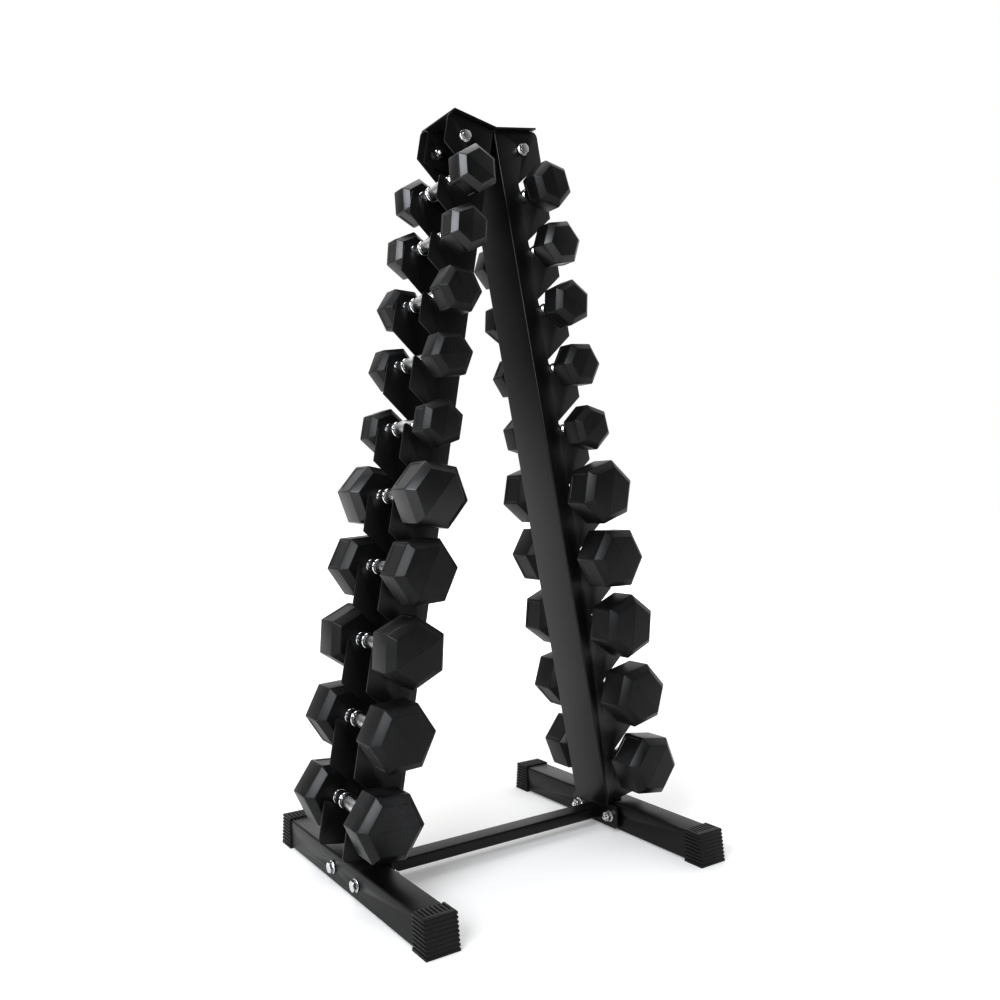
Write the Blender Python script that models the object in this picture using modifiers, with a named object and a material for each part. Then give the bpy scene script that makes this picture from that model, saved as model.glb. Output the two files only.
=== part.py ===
"""Two-sided dumbbell rack with twenty hexagonal dumbbells.

Two steel channels lean together like the letter A. Each stands on a square foot tube, a flat
cross bar holds the feet apart, and a bent bracket bolts the tops together. The channels'
flanges point outwards and are cut into ten hooks each, and a dumbbell's handle lies across
the front and the rear hook at every level.

X runs from the left foot to the right one, Y runs from the front to the back, Z is up, and
the origin is on the floor in the middle of the rack. Lengths are in metres.
"""

import math

import bpy
from mathutils import Matrix, Vector

# ---- Driving dimensions ------------------------------------------------------------------

GAP = 0.0003  # between pieces that touch

FOOT_SPACING = 0.530  # centre line of one foot to the other
FOOT_SIZE = 0.050  # square tube
FOOT_WALL = 0.002
FOOT_LENGTH = 0.528  # tube without its caps

CAP_WALL = 0.0025  # how far a cap stands proud of its tube
CAP_SLEEVE = 0.030  # length of tube inside a cap
CAP_END = 0.012  # thickness of a cap's end at the floor
CAP_SLANT = 0.0067  # how much shorter a cap is at the top

CHANNEL_LENGTH = 1.240
CHANNEL_WIDTH = 0.098  # over both flanges
CHANNEL_DEPTH = 0.092  # web to flange edge
CHANNEL_SHEET = 0.0025
CHANNEL_INSET = 0.016  # web inside the foot's inner face, at the foot's top
WEB_DROP = 0.005  # how far the web runs below the flanges
TOP_CORNER = 0.010
BOTTOM_CORNER = 0.008

HOOKS = 10
TOP_TIP = 0.054  # channel's top down to the first tooth's tip
FIRST_PITCH = 0.1002  # between the two highest hooks
PITCH_GROWTH = 0.0043  # added to each pitch below it
THROAT_RISE = 0.037  # a tooth's sloping edge, measured along the channel
SADDLE_RADIUS = 0.026
SADDLE_DEPTH = 0.060  # saddle's centre out from the web
SADDLE_DROP = 0.042  # saddle's centre below its tooth's tip
SADDLE_END = math.radians(305)  # where the saddle's arc ends
LIP_RADIUS = 0.004
LIP_DROP = 0.0625  # lip's centre below its tooth's tip

BRACKET_SHEET = 0.003
BRACKET_REACH = 0.086  # length of each half of the roof
BRACKET_OVERHANG = 0.0085  # roof beyond the flanges, front and rear
BRACKET_LIFT = 0.0012  # roof above the channels' ends
TAB_LENGTH = 0.060
TAB_DEPTH = 0.072
TAB_INSET = 0.008  # tab's edge from the web

BAR_DEPTH = 0.036
BAR_HEIGHT = 0.020
BAR_WALL = 0.0015
END_PLATE = 0.004
END_PLATE_WIDTH = 0.132
END_PLATE_HEIGHT = 0.042
END_PLATE_CORNER = 0.008

SEAT_SHEET = 0.004  # welded seat between a channel and its foot
SEAT_REACH = 0.034
SEAT_DROP = 0.042  # seat's tab, down the foot's inner face

BOLT_RADIUS = 0.005
BOLT_HOLE = 0.0055
BOLT_WASHER = 0.0108
BOLT_WASHER_SHEET = 0.0018
HEX_RADIUS = 0.0092  # corner radius of heads and nuts
HEAD_HEIGHT = 0.0065
NUT_HEIGHT = 0.008
WASHER_HOLE = 0.0054
THREAD_END = 0.006  # thread beyond its nut
FOOT_BOLT_SPACING = 0.091
TOP_BOLT_DEPTH = 0.055  # out from the web
TOP_BOLT_DROP = 0.0313  # below the channel's top

# A head is chamfered at both of its ends.
SMALL = {"flats": 0.071, "thickness": 0.052, "chamfer": 0.010, "grip": 0.142}
LARGE = {"flats": 0.100, "thickness": 0.072, "chamfer": 0.012, "grip": 0.134}
SMALL_COUNT = 5  # small dumbbells on the upper hooks of each side
HANDLE_RADIUS = 0.0112  # where it lies on the hooks
HANDLE_SWELL = 0.0135  # in the middle of the hand
HANDLE_NECK = 0.040  # the neck's start, from the middle
HANDLE_FACETS = 16
# How far each dumbbell has rolled about its handle, from a corner straight up, clockwise as
# seen from the front, from the top hook down.
ROLL = {
    "left": (-3, 5, -28, 22, 11, -20, 26, 4, 27, -25),
    "right": (-19, 18, 3, 26, -15, 10, 30, 6, 17, -22),
}

# ---- Derived sizes -------------------------------------------------------------------------

FOOT_TOP = CAP_WALL + FOOT_SIZE
BOLT_LEVEL = CAP_WALL + FOOT_SIZE / 2
INNER_FACE = FOOT_SPACING / 2 - FOOT_SIZE / 2
WEB_X = INNER_FACE - CHANNEL_INSET
LEAN = math.asin((WEB_X - GAP) / CHANNEL_LENGTH)
SEAT_FACE = INNER_FACE - GAP - SEAT_SHEET
PLATE_FACE = SEAT_FACE - GAP - END_PLATE
SIDES = {"left": -1, "right": 1}
ENDS = {"front": -1, "rear": 1}


def clear_scene():
    for old in list(bpy.data.objects):
        bpy.data.objects.remove(old, do_unlink=True)


def new_collection(name):
    collection = bpy.data.collections.new(name)
    bpy.context.scene.collection.children.link(collection)
    return collection


clear_scene()
RACK = new_collection("dumbbell_rack")
CUTTERS = new_collection("cutters")


# ---- Materials -----------------------------------------------------------------------------


def new_material(name, colour, roughness, metallic=0.0):
    material = bpy.data.materials.new(name)
    material.use_nodes = True
    shader = material.node_tree.nodes["Principled BSDF"]
    shader.inputs["Base Color"].default_value = (*colour, 1.0)
    shader.inputs["Roughness"].default_value = roughness
    shader.inputs["Metallic"].default_value = metallic
    return material


POWDER_COAT = new_material("black_powder_coat", (0.012, 0.012, 0.013), 0.45)
RUBBER = new_material("rubber_coated_iron", (0.016, 0.016, 0.017), 0.60)
PLASTIC = new_material("black_plastic", (0.010, 0.010, 0.010), 0.50)
ZINC = new_material("bright_zinc", (0.62, 0.62, 0.62), 0.25, 1.0)


# ---- Building blocks -----------------------------------------------------------------------


def keep(piece, name, material, collection=None):
    """Name a piece, give it its material and file it in its collection."""
    for old in list(piece.users_collection):
        old.objects.unlink(piece)
    (collection or RACK).objects.link(piece)
    piece.name = name
    piece.data.name = name
    piece.data.materials.clear()
    if material is not None:
        piece.data.materials.append(material)
    return piece


def box(name, low, high, material, collection=None):
    """A block between two opposite corners."""
    low, high = Vector(low), Vector(high)
    bpy.ops.mesh.primitive_cube_add(size=1.0, location=(low + high) / 2)
    piece = bpy.context.object
    piece.scale = high - low
    bpy.ops.object.transform_apply(location=False, rotation=False, scale=True)
    return keep(piece, name, material, collection)


def rod(name, centre, direction, length, radius, sides, material, collection=None):
    """A straight bar of round or many-sided section, centred on a point."""
    turn = Vector(direction).to_track_quat("Z", "Y").to_euler()
    bpy.ops.mesh.primitive_cylinder_add(
        vertices=sides, radius=radius, depth=length, location=centre, rotation=turn
    )
    return keep(bpy.context.object, name, material, collection)


def slab(name, outline, thickness, material, collection=None):
    """A plate cut to an outline in X and Y, centred on Z, as a closed mesh."""
    curve = bpy.data.curves.new(name, "CURVE")
    curve.dimensions = "2D"
    curve.fill_mode = "BOTH"
    curve.extrude = thickness / 2
    line = curve.splines.new("POLY")
    line.points.add(len(outline) - 1)
    for point, (x, y) in zip(line.points, outline):
        point.co = (x, y, 0.0, 1.0)
    line.use_cyclic_u = True
    drawn = bpy.data.objects.new(name + "_outline", curve)
    CUTTERS.objects.link(drawn)
    graph = bpy.context.evaluated_depsgraph_get()
    mesh = bpy.data.meshes.new_from_object(drawn.evaluated_get(graph))
    bpy.data.objects.remove(drawn)
    piece = bpy.data.objects.new(name, mesh)
    bpy.context.scene.collection.objects.link(piece)
    weld(piece)
    return keep(piece, name, material, collection)


def weld(piece):
    """Join points that lie on each other, and turn the faces outwards."""
    select_only(piece)
    bpy.ops.object.mode_set(mode="EDIT")
    bpy.ops.mesh.select_all(action="SELECT")
    bpy.ops.mesh.remove_doubles(threshold=0.00001)
    bpy.ops.mesh.normals_make_consistent(inside=False)
    bpy.ops.object.mode_set(mode="OBJECT")


def select_only(piece):
    bpy.ops.object.select_all(action="DESELECT")
    bpy.context.view_layer.objects.active = piece
    piece.select_set(True)


def combine(piece, other, operation):
    """Cut the other solid from a piece, or join it on, and remove the other solid."""
    change = piece.modifiers.new(operation.lower(), "BOOLEAN")
    change.operation = operation
    change.solver = "EXACT"
    change.object = other
    select_only(piece)
    bpy.ops.object.modifier_apply(modifier=change.name)
    bpy.data.objects.remove(other, do_unlink=True)
    return piece


def cutter(shape):
    shape.hide_render = True
    shape.display_type = "WIRE"
    return shape


def cut(piece, shape):
    return combine(piece, cutter(shape), "DIFFERENCE")


def arc(centre, radius, start, end, steps):
    """Points on a circle from one angle to another, both included."""
    angles = [start + (end - start) * step / steps for step in range(steps + 1)]
    return [(centre[0] + radius * math.cos(a), centre[1] + radius * math.sin(a)) for a in angles]


# ---- The leaning frame of each side --------------------------------------------------------


def side_matrix(side):
    """Axes of one channel: X out from the web, Z up along the channel, Y across it."""
    sign = SIDES[side]
    outward = Vector((sign * math.cos(LEAN), 0.0, math.sin(LEAN)))
    upward = Vector((-sign * math.sin(LEAN), 0.0, math.cos(LEAN)))
    across = upward.cross(outward)
    turn = Matrix((outward, across, upward)).transposed().to_4x4()
    return Matrix.Translation((sign * WEB_X, 0.0, FOOT_TOP)) @ turn


def side_frame(side):
    frame = bpy.data.objects.new(side + "_side", None)
    RACK.objects.link(frame)
    frame.matrix_world = side_matrix(side)
    return frame


def set_on_side(piece, frame):
    """Place a piece that is modelled in a channel's own axes."""
    piece.parent = frame
    return piece


FRAMES = {side: side_frame(side) for side in SIDES}


# ---- Feet ----------------------------------------------------------------------------------


def foot_tube(side):
    x = SIDES[side] * FOOT_SPACING / 2
    half, length = FOOT_SIZE / 2, FOOT_LENGTH / 2
    tube = box(
        side + "_foot_tube",
        (x - half, -length, CAP_WALL),
        (x + half, length, FOOT_TOP),
        POWDER_COAT,
    )
    inside = half - FOOT_WALL
    bore = box(
        "bore",
        (x - inside, -length - CAP_END, CAP_WALL + FOOT_WALL),
        (x + inside, length + CAP_END, FOOT_TOP - FOOT_WALL),
        None,
        CUTTERS,
    )
    cut(tube, bore)
    for y in (-FOOT_BOLT_SPACING / 2, FOOT_BOLT_SPACING / 2):
        hole = rod("hole", (x, y, BOLT_LEVEL), (1, 0, 0), 2 * FOOT_SIZE, BOLT_HOLE, 24, None, CUTTERS)
        cut(tube, hole)
    return tube


def foot_cap(side, end):
    """A plastic cap: its end leans back, and it hugs the tube with a small clearance."""
    x, sign = SIDES[side] * FOOT_SPACING / 2, ENDS[end]
    tube_end = FOOT_LENGTH / 2
    tip = tube_end + CAP_END
    height = FOOT_SIZE + 2 * CAP_WALL
    outline = [
        (tube_end - CAP_SLEEVE, 0.0),
        (tip, 0.0),
        (tip - CAP_SLANT, height),
        (tube_end - CAP_SLEEVE, height),
    ]
    outline = [(sign * y, z) for y, z in outline]
    cap = slab(f"{side}_{end}_foot_cap", outline, FOOT_SIZE + 2 * CAP_WALL, PLASTIC)
    cap.matrix_world = Matrix(((0, 0, 1, x), (1, 0, 0, 0), (0, 1, 0, 0), (0, 0, 0, 1)))
    select_only(cap)
    bpy.ops.object.transform_apply(location=True, rotation=True, scale=True)
    half = FOOT_SIZE / 2 + GAP
    near, far = sorted((sign * (tube_end + GAP), sign * (tube_end - 2 * CAP_SLEEVE)))
    pocket = box(
        "pocket",
        (x - half, near, CAP_WALL - GAP),
        (x + half, far, FOOT_TOP + GAP),
        None,
        CUTTERS,
    )
    return cut(cap, pocket)


# ---- Cross bar -----------------------------------------------------------------------------


def cross_bar():
    reach = PLATE_FACE - GAP
    low = BOLT_LEVEL - BAR_HEIGHT / 2
    bar = box(
        "cross_bar",
        (-reach, -BAR_DEPTH / 2, low),
        (reach, BAR_DEPTH / 2, low + BAR_HEIGHT),
        POWDER_COAT,
    )
    inside = BAR_DEPTH / 2 - BAR_WALL
    bore = box(
        "bore",
        (-2 * reach, -inside, low + BAR_WALL),
        (2 * reach, inside, low + BAR_HEIGHT - BAR_WALL),
        None,
        CUTTERS,
    )
    return cut(bar, bore)


def rounded_plate(width, height, corner):
    """Outline of a rectangle with round corners, centred on the origin."""
    points = []
    for x, y, start in ((1, 1, 0.0), (-1, 1, 0.5), (-1, -1, 1.0), (1, -1, 1.5)):
        centre = (x * (width / 2 - corner), y * (height / 2 - corner))
        points += arc(centre, corner, math.pi * start, math.pi * (start + 0.5), 4)
    return points


def end_plate(side):
    """The plate welded to the cross bar's end, bolted through the seat's tab and the foot."""
    sign = SIDES[side]
    outline = rounded_plate(END_PLATE_WIDTH, END_PLATE_HEIGHT, END_PLATE_CORNER)
    plate = slab(side + "_end_plate", outline, END_PLATE, POWDER_COAT)
    x = sign * (PLATE_FACE + END_PLATE / 2)
    plate.matrix_world = Matrix(((0, 0, 1, x), (1, 0, 0, 0), (0, 1, 0, BOLT_LEVEL), (0, 0, 0, 1)))
    select_only(plate)
    bpy.ops.object.transform_apply(location=True, rotation=True, scale=True)
    for y in (-FOOT_BOLT_SPACING / 2, FOOT_BOLT_SPACING / 2):
        hole = rod("hole", (x, y, BOLT_LEVEL), (1, 0, 0), 4 * END_PLATE, BOLT_HOLE, 24, None, CUTTERS)
        cut(plate, hole)
    return plate


# ---- Channels, seats and top bracket -------------------------------------------------------


def tip_heights():
    """Height of each tooth's tip along the channel, from the top one down."""
    heights = [CHANNEL_LENGTH - TOP_TIP]
    for step in range(HOOKS - 1):
        heights.append(heights[-1] - FIRST_PITCH - PITCH_GROWTH * step)
    return heights


def notch(tip):
    """One hook's edge, from the tooth's tip above it down to the lip's outer side."""
    throat = SADDLE_DEPTH - SADDLE_RADIUS
    lip = (CHANNEL_DEPTH - LIP_RADIUS, tip - LIP_DROP)
    saddle = (SADDLE_DEPTH, tip - SADDLE_DROP)
    edge = [(CHANNEL_DEPTH, tip), (throat, tip - THROAT_RISE)]
    edge += arc(saddle, SADDLE_RADIUS, math.pi, SADDLE_END, 10)
    edge += arc(lip, LIP_RADIUS, math.radians(112), 0.0, 4)
    return edge


def channel_outline():
    """Side view of a channel: out from the web along X, up the channel along Y."""
    top, depth = CHANNEL_LENGTH, CHANNEL_DEPTH
    outline = [(0.0, -WEB_DROP), (0.0, top)]
    corner = (depth - TOP_CORNER, top - TOP_CORNER)
    outline += arc(corner, TOP_CORNER, math.pi / 2, 0.0, 4)
    for tip in tip_heights():
        outline += notch(tip)
    corner = (depth - BOTTOM_CORNER, BOTTOM_CORNER)
    outline += arc(corner, BOTTOM_CORNER, 0.0, -math.pi / 2, 4)
    outline += [(CHANNEL_SHEET, 0.0), (CHANNEL_SHEET, -WEB_DROP)]
    return outline


def upright(side):
    piece = slab(side + "_upright", channel_outline(), CHANNEL_WIDTH, POWDER_COAT)
    piece.matrix_world = Matrix(((1, 0, 0, 0), (0, 0, -1, 0), (0, 1, 0, 0), (0, 0, 0, 1)))
    select_only(piece)
    bpy.ops.object.transform_apply(location=True, rotation=True, scale=True)
    inside = CHANNEL_WIDTH / 2 - CHANNEL_SHEET
    hollow = box(
        "hollow",
        (CHANNEL_SHEET, -inside, -2 * WEB_DROP),
        (2 * CHANNEL_DEPTH, inside, CHANNEL_LENGTH + WEB_DROP),
        None,
        CUTTERS,
    )
    cut(piece, hollow)
    cut(piece, top_bolt_hole())
    return set_on_side(piece, FRAMES[side])


def top_bolt_hole():
    centre = (TOP_BOLT_DEPTH, 0.0, CHANNEL_LENGTH - TOP_BOLT_DROP)
    return rod("hole", centre, (0, 1, 0), 2 * CHANNEL_WIDTH, BOLT_HOLE, 24, None, CUTTERS)


def seat(side):
    """The welded T piece: it lies on the foot inside the channel and hangs down its inner face."""
    sign, half = SIDES[side], CHANNEL_WIDTH / 2 - CHANNEL_SHEET - GAP
    low, top = FOOT_TOP + GAP, FOOT_TOP + GAP + SEAT_SHEET
    start = WEB_X + CHANNEL_SHEET / math.cos(LEAN) + GAP
    near, far = sorted((sign * start, sign * (start + SEAT_REACH)))
    piece = box(side + "_seat", (near, -half, low), (far, half, top), POWDER_COAT)
    near, far = sorted((sign * SEAT_FACE, sign * (SEAT_FACE + SEAT_SHEET)))
    bottom, middle = FOOT_TOP - SEAT_DROP, low + SEAT_SHEET / 2
    tab = box("tab", (near, -half, bottom), (far, half, middle), None, CUTTERS)
    combine(piece, tab, "UNION")
    for y in (-FOOT_BOLT_SPACING / 2, FOOT_BOLT_SPACING / 2):
        slot = box(
            "slot",
            (sign * SEAT_FACE - FOOT_SIZE / 4, y - 2 * BOLT_HOLE, BOLT_LEVEL - 2 * BOLT_HOLE),
            (sign * SEAT_FACE + FOOT_SIZE / 4, y + 2 * BOLT_HOLE, BOLT_LEVEL + 2 * BOLT_HOLE),
            None,
            CUTTERS,
        )
        cut(piece, slot)
    return piece


def roof_outline():
    """Cross-section of the roof: a shallow V whose halves are square to the channels."""
    under = CHANNEL_LENGTH + BRACKET_LIFT
    over = under + BRACKET_SHEET
    matrix = side_matrix("right")
    points = []
    for level, reach in ((over, None), (over, BRACKET_REACH), (under, BRACKET_REACH), (under, None)):
        if reach is None:  # on the rack's middle plane
            reach = (level * math.sin(LEAN) - WEB_X) / math.cos(LEAN)
        place = matrix @ Vector((reach, 0.0, level))
        points.append((place.x, place.z))
    right, left = points, [(-x, z) for x, z in reversed(points)]
    return right[1:] + left[1:3] + [right[0]]


def top_bracket():
    """The roof and its four welded tabs, one inside each flange."""
    width = CHANNEL_WIDTH + 2 * BRACKET_OVERHANG
    roof = slab("top_bracket", roof_outline(), width, POWDER_COAT)
    roof.matrix_world = Matrix(((1, 0, 0, 0), (0, 0, -1, 0), (0, 1, 0, 0), (0, 0, 0, 1)))
    select_only(roof)
    bpy.ops.object.transform_apply(location=True, rotation=True, scale=True)
    outer = CHANNEL_WIDTH / 2 - CHANNEL_SHEET - GAP
    top = CHANNEL_LENGTH + BRACKET_LIFT + BRACKET_SHEET / 2
    for side in SIDES:
        for sign in ENDS.values():
            near, far = sorted((sign * outer, sign * (outer - BRACKET_SHEET)))
            tab = box(
                "tab",
                (CHANNEL_SHEET + TAB_INSET, near, CHANNEL_LENGTH - TAB_LENGTH),
                (TAB_INSET + TAB_DEPTH, far, top),
                None,
                CUTTERS,
            )
            tab.matrix_world = side_matrix(side) @ tab.matrix_world
            combine(roof, tab, "UNION")
        hole = top_bolt_hole()
        hole.matrix_world = side_matrix(side) @ hole.matrix_world
        cut(roof, hole)
    return roof


# ---- Fasteners -----------------------------------------------------------------------------


def bolt(name, seat_point, direction, grip):
    """A hexagon bolt with its washer, driven from a point along a direction."""
    way = Vector(direction).normalized()
    start = Vector(seat_point) - way * GAP
    length = grip + GAP + NUT_HEIGHT + THREAD_END
    piece = rod(
        name,
        start + way * (length - BOLT_WASHER_SHEET) / 2,
        way,
        length + BOLT_WASHER_SHEET,
        BOLT_RADIUS,
        24,
        ZINC,
    )
    washer = rod(
        "washer",
        start - way * BOLT_WASHER_SHEET / 2,
        way,
        BOLT_WASHER_SHEET,
        BOLT_WASHER,
        24,
        None,
        CUTTERS,
    )
    combine(piece, washer, "UNION")
    overlap = BOLT_WASHER_SHEET / 2
    head = rod(
        "head",
        start - way * (BOLT_WASHER_SHEET - overlap + (HEAD_HEIGHT + overlap) / 2),
        way,
        HEAD_HEIGHT + overlap,
        HEX_RADIUS,
        6,
        None,
        CUTTERS,
    )
    return combine(piece, head, "UNION")


def ring(name, start, direction, height, outer, sides, bore):
    """A nut or a washer: a short bar with a round hole."""
    way = Vector(direction).normalized()
    centre = Vector(start) + way * height / 2
    piece = rod(name, centre, way, height, outer, sides, ZINC)
    hole = rod("hole", centre, way, 3 * height, bore, 24, None, CUTTERS)
    return cut(piece, hole)


def foot_fasteners(side, end):
    sign = SIDES[side]
    y = ENDS[end] * FOOT_BOLT_SPACING / 2
    outer = Vector((sign * (FOOT_SPACING + FOOT_SIZE) / 2, y, BOLT_LEVEL))
    inner = Vector((sign * PLATE_FACE, y, BOLT_LEVEL))
    way = Vector((-sign, 0.0, 0.0))
    bolt(f"{side}_{end}_foot_bolt", outer, way, (inner - outer).length + BOLT_WASHER_SHEET + 2 * GAP)
    ring(
        f"{side}_{end}_foot_washer",
        inner + way * GAP,
        way,
        BOLT_WASHER_SHEET,
        BOLT_WASHER,
        24,
        WASHER_HOLE,
    )
    start = inner + way * (2 * GAP + BOLT_WASHER_SHEET)
    ring(f"{side}_{end}_foot_nut", start, way, NUT_HEIGHT, HEX_RADIUS, 6, WASHER_HOLE)


def top_fasteners(side, end):
    """Bolt and nut in a channel's own axes, from outside the flange inwards."""
    sign = ENDS[end]
    matrix = side_matrix(side)
    if side == "left":  # the left channel is turned half round, so its front is at +Y
        sign = -sign
    height = CHANNEL_LENGTH - TOP_BOLT_DROP
    way = Vector((0.0, -sign, 0.0))
    outer = Vector((TOP_BOLT_DEPTH, sign * CHANNEL_WIDTH / 2, height))
    sheets = CHANNEL_SHEET + GAP + BRACKET_SHEET
    placed_way = matrix.to_3x3() @ way
    bolt(f"{side}_{end}_top_bolt", matrix @ outer, placed_way, sheets)
    start = matrix @ (outer + way * (sheets + GAP))
    ring(f"{side}_{end}_top_nut", start, placed_way, NUT_HEIGHT, HEX_RADIUS, 6, WASHER_HOLE)


# ---- Dumbbells -----------------------------------------------------------------------------


def turned(name, profile, facets):
    """A solid turned about Z from a profile of radius and height, first point lowest."""
    mesh = bpy.data.meshes.new(name)
    points = [(radius, 0.0, height) for radius, height in reversed(profile)]
    mesh.from_pydata(points, [(i, i + 1) for i in range(len(points) - 1)], [])
    piece = bpy.data.objects.new(name, mesh)
    bpy.context.scene.collection.objects.link(piece)
    spin = piece.modifiers.new("screw", "SCREW")
    spin.axis = "Z"
    spin.steps = facets
    spin.render_steps = facets
    spin.use_merge_vertices = True
    spin.merge_threshold = 0.00005
    select_only(piece)
    bpy.ops.object.modifier_apply(modifier=spin.name)
    weld(piece)
    return piece


def dumbbell_mesh(name, size):
    """Handle and both heads along Z, with a corner of the heads towards +X."""
    corner = 1 / math.cos(math.pi / 6)
    radius = size["flats"] / 2 * corner
    inner = size["grip"] / 2
    outer = inner + size["thickness"]
    bevel = size["chamfer"]
    head_profile = [
        (0.0, inner),
        (radius - bevel * corner, inner),
        (radius, inner + bevel),
        (radius, outer - bevel),
        (radius - bevel * corner, outer),
        (0.0, outer),
    ]
    buried = inner + size["thickness"] / 3
    swell, neck = HANDLE_SWELL, HANDLE_RADIUS
    handle_profile = [
        (0.0, -buried),
        (neck, -buried),
        (neck, -HANDLE_NECK),
        (swell, -HANDLE_NECK / 3),
        (swell, HANDLE_NECK / 3),
        (neck, HANDLE_NECK),
        (neck, buried),
        (0.0, buried),
    ]
    piece = turned(name, handle_profile, HANDLE_FACETS)
    for flip in (0.0, math.pi):
        head = turned("head", head_profile, 6)
        head.rotation_euler = (flip, 0.0, 0.0)
        combine(piece, head, "UNION")
    keep(piece, name, RUBBER, CUTTERS)
    mesh = piece.data
    mesh.use_fake_user = True
    bpy.data.objects.remove(piece)
    return mesh


def rest_place(tip):
    """Centre of a handle that lies at the saddle's lowest point, in a channel's own axes."""
    play = SADDLE_RADIUS - HANDLE_RADIUS - GAP
    return Vector(
        (
            SADDLE_DEPTH - play * math.sin(LEAN),
            0.0,
            tip - SADDLE_DROP - play * math.cos(LEAN),
        )
    )


def dumbbell(side, level, mesh):
    name = f"{side}_dumbbell_{level + 1:02d}"
    piece = bpy.data.objects.new(name, mesh)
    RACK.objects.link(piece)
    roll = math.radians(ROLL[side][level])
    along = Vector((0.0, 1.0, 0.0))
    corner = Vector((math.sin(roll), 0.0, math.cos(roll)))
    turn = Matrix((corner, along.cross(corner), along)).transposed().to_4x4()
    place = side_matrix(side) @ rest_place(tip_heights()[level])
    piece.matrix_world = Matrix.Translation(place) @ turn
    return piece


# ---- Assembly ------------------------------------------------------------------------------

SMALL_MESH = dumbbell_mesh("small_dumbbell", SMALL)
LARGE_MESH = dumbbell_mesh("large_dumbbell", LARGE)

cross_bar()
top_bracket()
for side_name in SIDES:
    foot_tube(side_name)
    end_plate(side_name)
    seat(side_name)
    upright(side_name)
    for end_name in ENDS:
        foot_cap(side_name, end_name)
        foot_fasteners(side_name, end_name)
        top_fasteners(side_name, end_name)
    for hook in range(HOOKS):
        dumbbell(side_name, hook, SMALL_MESH if hook < SMALL_COUNT else LARGE_MESH)
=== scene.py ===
"""Detailed look of a two-sided dumbbell rack with its twenty hexagonal dumbbells.

Every piece is modelled over the matching part of the engineering model, in metres, with X from
the left foot to the right one, Y from the front to the back and Z up. The steelwork keeps the
engineering shapes and gains rolled bends and eased edges; the foot caps, fasteners, heads and
handles are modelled afresh inside the space that their solids hold.
"""

import math

import bmesh
import bpy
from bpy.props import FloatProperty, FloatVectorProperty, IntProperty, PointerProperty
from mathutils import Matrix, Vector


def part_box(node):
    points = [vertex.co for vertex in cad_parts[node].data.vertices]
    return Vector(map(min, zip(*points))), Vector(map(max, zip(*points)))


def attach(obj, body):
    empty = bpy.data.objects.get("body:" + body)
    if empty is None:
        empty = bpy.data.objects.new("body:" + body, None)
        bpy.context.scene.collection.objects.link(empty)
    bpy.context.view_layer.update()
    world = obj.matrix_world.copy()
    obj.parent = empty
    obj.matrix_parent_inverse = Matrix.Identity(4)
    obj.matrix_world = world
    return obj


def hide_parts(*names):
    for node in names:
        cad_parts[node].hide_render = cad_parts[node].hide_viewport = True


bl_info = {
    "name": "Dumbbell Rack",
    "version": (1, 0, 0),
    "blender": (4, 5, 0),
    "location": "3D View > Sidebar > Rack",
    "description": "Models a two-sided dumbbell rack, its dumbbells and a plain studio",
    "category": "Object",
}

SIDES = ("left", "right")
ENDS = ("front", "rear")
AROUND = math.tau / 6  # a hexagon looks the same after this turn
STEEL_PARTS = ("upright", "foot_tube", "end_plate", "seat")

# How many flats each dumbbell's moulded panels are turned from its highest corner.
PANEL_TURNS = {
    "left": (-1, 0, 0, 1, 0, 1, 0, 1, -1, -1),
    "right": (0, 1, -1, 0, 1, 0, -1, 0, -1, 1),
}

# Finishes of the rubber: roughness where it is clean, specular level, share of the bloom.
RUBBER_FINISHES = {
    "moulded": (0.40, 0.32, 1.0),
    "worn": (0.31, 0.58, 1.0),
    "dusty": (0.35, 0.38, 2.2),
}
HEAD_FINISHES = {
    "left_dumbbell_01": "worn",
    "left_dumbbell_02": "worn",
    "left_dumbbell_06": "worn",
    "right_dumbbell_02": "worn",
    # The tenth dumbbell on each side gets more than twice the bloom, so its heads come out paler all
    # over.
    "left_dumbbell_10": "dusty",
    "right_dumbbell_10": "dusty",
}

DUSTY_ROUGHER = 0.20  # how much rougher the rubber is where it is dusty

VIEW_GAMMA = 0.80
CAMERA_PLACE = (-0.8903, -1.3789, 0.6316)
CAMERA_SWING, CAMERA_PITCH, CAMERA_ROLL = -33.67, 89.89, -1.27  # degrees
CAMERA_LENS = 33.01  # millimetres

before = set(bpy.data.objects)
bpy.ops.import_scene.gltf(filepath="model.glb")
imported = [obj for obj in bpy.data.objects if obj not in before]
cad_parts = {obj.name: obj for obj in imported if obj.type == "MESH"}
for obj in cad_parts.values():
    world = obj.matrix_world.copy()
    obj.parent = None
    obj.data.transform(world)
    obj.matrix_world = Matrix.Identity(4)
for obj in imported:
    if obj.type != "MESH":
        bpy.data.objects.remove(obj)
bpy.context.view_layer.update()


# ---- Settings --------------------------------------------------------------------------------


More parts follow.
